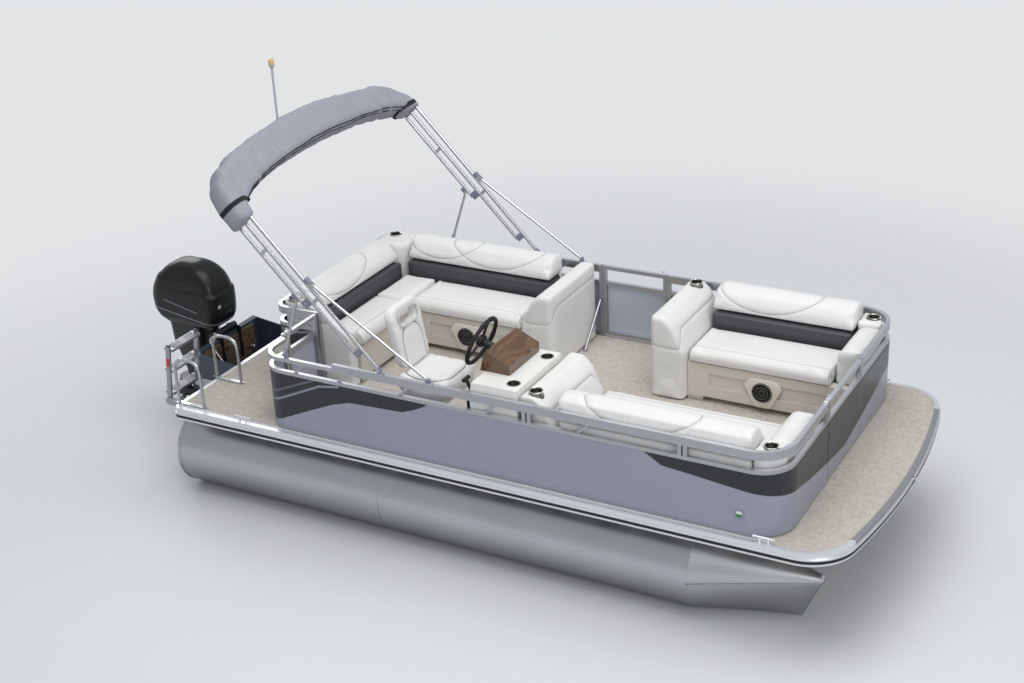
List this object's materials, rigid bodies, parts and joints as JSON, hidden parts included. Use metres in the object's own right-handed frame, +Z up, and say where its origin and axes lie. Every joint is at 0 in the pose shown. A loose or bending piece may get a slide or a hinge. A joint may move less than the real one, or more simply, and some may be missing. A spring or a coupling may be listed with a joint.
{
  "type": "pontoon boat",
  "caption": "Aluminium pontoon boat: round tubes under a fenced deck with cushioned lounges, a helm console, a folded bimini in its boot, a boarding ladder and a black outboard.",
  "frame": {"origin": "on the ground under the middle of the overall length and beam, at the bottom of the keel strips", "axes": "+X forward to the bow, +Y to port, +Z up"},
  "size_m": [6.566, 2.59, 3.343],
  "materials": {
    "hull_aluminium": "brushed mill finish with bright weld rings",
    "frame_aluminium": "plain mill finish",
    "rail_aluminium": "satin anodised square tube",
    "deck_vinyl": "woven beige vinyl",
    "rub_black": "matt black insert",
    "pod_navy": "dark blue paint",
    "fence_paint": "grey-blue gloss paint with darker sweeps",
    "gate_charcoal": "charcoal gloss paint",
    "gate_frosted": "frosted pale blue panel",
    "vinyl_white": "soft off-white vinyl with sewn seams",
    "vinyl_charcoal": "charcoal vinyl band",
    "base_beige": "moulded, fine grain",
    "steel": "brushed stainless",
    "speaker_grey": "moulded grille and bezel",
    "console_white": "gel-coat gloss",
    "dash_wood": "lacquered wood grain",
    "black_plastic": "fine-grained black",
    "canvas_grey": "woven acrylic canvas",
    "outboard_black": "gloss black with a light stripe",
    "drive_black": "satin black",
    "lens": "coloured lens in a dark case"
  },
  "bodies": {
    "hull": {"pontoon_starboard": "hull_aluminium", "pontoon_port": "hull_aluminium", "cross_members": "frame_aluminium", "deck_trim": "rail_aluminium", "fence_rails_starboard": "rail_aluminium", "fence_rails_port_bow": "rail_aluminium", "fence_rails_port_aft": "rail_aluminium", "gate_brace": "rail_aluminium", "bimini_feet": "rail_aluminium", "chair_pedestal": "rail_aluminium", "ladder_mounts": "rail_aluminium", "deck_board": "deck_vinyl", "rub_strip": "rub_black", "motor_pod": "pod_navy", "fence_skin_starboard": "fence_paint", "fence_skin_port_bow": "fence_paint", "fence_skin_port_aft": "fence_paint", "lounge_seat_fixed": "vinyl_white", "lounge_backs": "vinyl_white", "lounge_arms": "vinyl_white", "bench_port_back": "vinyl_white", "bench_port_ends": "vinyl_white", "bench_starboard_back": "vinyl_white", "bench_starboard_ends": "vinyl_white", "seat_bands": "vinyl_charcoal", "lounge_base": "base_beige", "bench_port_base": "base_beige", "bench_starboard_base": "base_beige", "cup_holders": "steel", "hand_rails": "steel", "deck_hardware": "steel", "speakers": "speaker_grey", "console": "console_white", "dash": "dash_wood", "steering_column": "black_plastic", "throttle": "black_plastic", "outboard_clamp": "drive_black", "nav_lights": "lens"},
    "gate_bow": {"gate_bow_frame": "rail_aluminium", "gate_bow_skin": "gate_charcoal"},
    "gate_port": {"gate_port_frame": "rail_aluminium", "gate_port_skin": "gate_frosted"},
    "gate_stern": {"gate_stern_frame": "rail_aluminium", "gate_stern_skin": "fence_paint"},
    "lounge_lid": {"lounge_seat": "vinyl_white"},
    "bench_port_lid": {"bench_port_seat": "vinyl_white"},
    "bench_starboard_lid": {"bench_starboard_seat": "vinyl_white"},
    "helm_chair": {"chair_seat": "vinyl_white", "chair_back": "vinyl_white"},
    "steering": {"steering_wheel": "black_plastic"},
    "bimini": {"bimini_legs": "rail_aluminium", "bimini_boot": "canvas_grey", "light_pole": "rail_aluminium"},
    "bimini_brace": {"bimini_braces": "rail_aluminium"},
    "bimini_strut": {"bimini_struts": "rail_aluminium"},
    "boarding_ladder": {"ladder": "rail_aluminium"},
    "outboard_tilt": {"outboard_swivel": "drive_black"},
    "outboard": {"outboard_cowl": "outboard_black", "outboard_leg": "drive_black"},
    "propeller_shaft": {"propeller": "drive_black"}
  },
  "joints": [
    {"name": "gate_bow_hinge", "type": "hinge", "parent": "hull", "child": "gate_bow", "pos_m": [2.7175, 0.339, 1.058], "axis": [0, 0, -1], "range_deg": [0, 90]},
    {"name": "gate_port_hinge", "type": "hinge", "parent": "hull", "child": "gate_port", "pos_m": [0.899, 1.1855, 1.058], "axis": [0, 0, 1], "range_deg": [0, 90]},
    {"name": "gate_stern_hinge", "type": "hinge", "parent": "hull", "child": "gate_stern", "pos_m": [-1.2735, -0.516, 1.058], "axis": [0, 0, 1], "range_deg": [0, 90]},
    {"name": "lounge_lid_hinge", "type": "hinge", "parent": "hull", "child": "lounge_lid", "pos_m": [-0.518, 0.862, 1.248], "axis": [-1, 0, 0], "range_deg": [0, 80]},
    {"name": "bench_port_lid_hinge", "type": "hinge", "parent": "hull", "child": "bench_port_lid", "pos_m": [1.962, 0.862, 1.248], "axis": [-1, 0, 0], "range_deg": [0, 80]},
    {"name": "bench_starboard_lid_hinge", "type": "hinge", "parent": "hull", "child": "bench_starboard_lid", "pos_m": [1.812, -0.862, 1.248], "axis": [1, 0, 0], "range_deg": [0, 80]},
    {"name": "helm_chair_swivel", "type": "hinge", "parent": "hull", "child": "helm_chair", "pos_m": [-0.073, -0.755, 1.148], "axis": [0, 0, 1], "continuous": true},
    {"name": "steering_wheel_turn", "type": "hinge", "parent": "hull", "child": "steering", "pos_m": [0.34574, -0.79, 1.63295], "axis": [0.9272, 0, -0.3746], "range_deg": [-540, 540]},
    {"name": "bimini_fold", "type": "hinge", "parent": "hull", "child": "bimini", "pos_m": [-0.26, 0, 1.47], "axis": [0, 1, 0], "range_deg": [0, 40]},
    {"name": "bimini_brace_pivot", "type": "hinge", "parent": "bimini", "child": "bimini_brace", "pos_m": [-0.78586, 0, 2.05485], "axis": [0, 1, 0], "range_deg": [-25.6, 0]},
    {"name": "bimini_strut_pivot", "type": "hinge", "parent": "hull", "child": "bimini_strut", "pos_m": [-1.073, 0, 1.47], "axis": [0, 1, 0], "range_deg": [0, 66]},
    {"name": "ladder_hinge", "type": "hinge", "parent": "hull", "child": "boarding_ladder", "pos_m": [-2.328, -0.96, 0.778], "axis": [0, -1, 0], "range_deg": [0, 165]},
    {"name": "outboard_tilt_hinge", "type": "hinge", "parent": "hull", "child": "outboard_tilt", "pos_m": [-2.651, 0, 0.853], "axis": [0, 1, 0], "range_deg": [0, 65]},
    {"name": "outboard_steer", "type": "hinge", "parent": "outboard_tilt", "child": "outboard", "pos_m": [-2.771, 0, 0.718], "axis": [0, 0, 1], "range_deg": [-30, 30]},
    {"name": "propeller_spin", "type": "hinge", "parent": "outboard", "child": "propeller_shaft", "pos_m": [-3.173, 0, 0.173], "axis": [1, 0, 0], "continuous": true}
  ],
  "couplings": [
    {"joint": "bimini_brace_pivot", "follows": "bimini_fold", "ratio": -0.64},
    {"joint": "bimini_strut_pivot", "follows": "bimini_fold", "ratio": 1.65},
    {"joint": "outboard_steer", "follows": "steering_wheel_turn", "ratio": 0.055556}
  ]
}
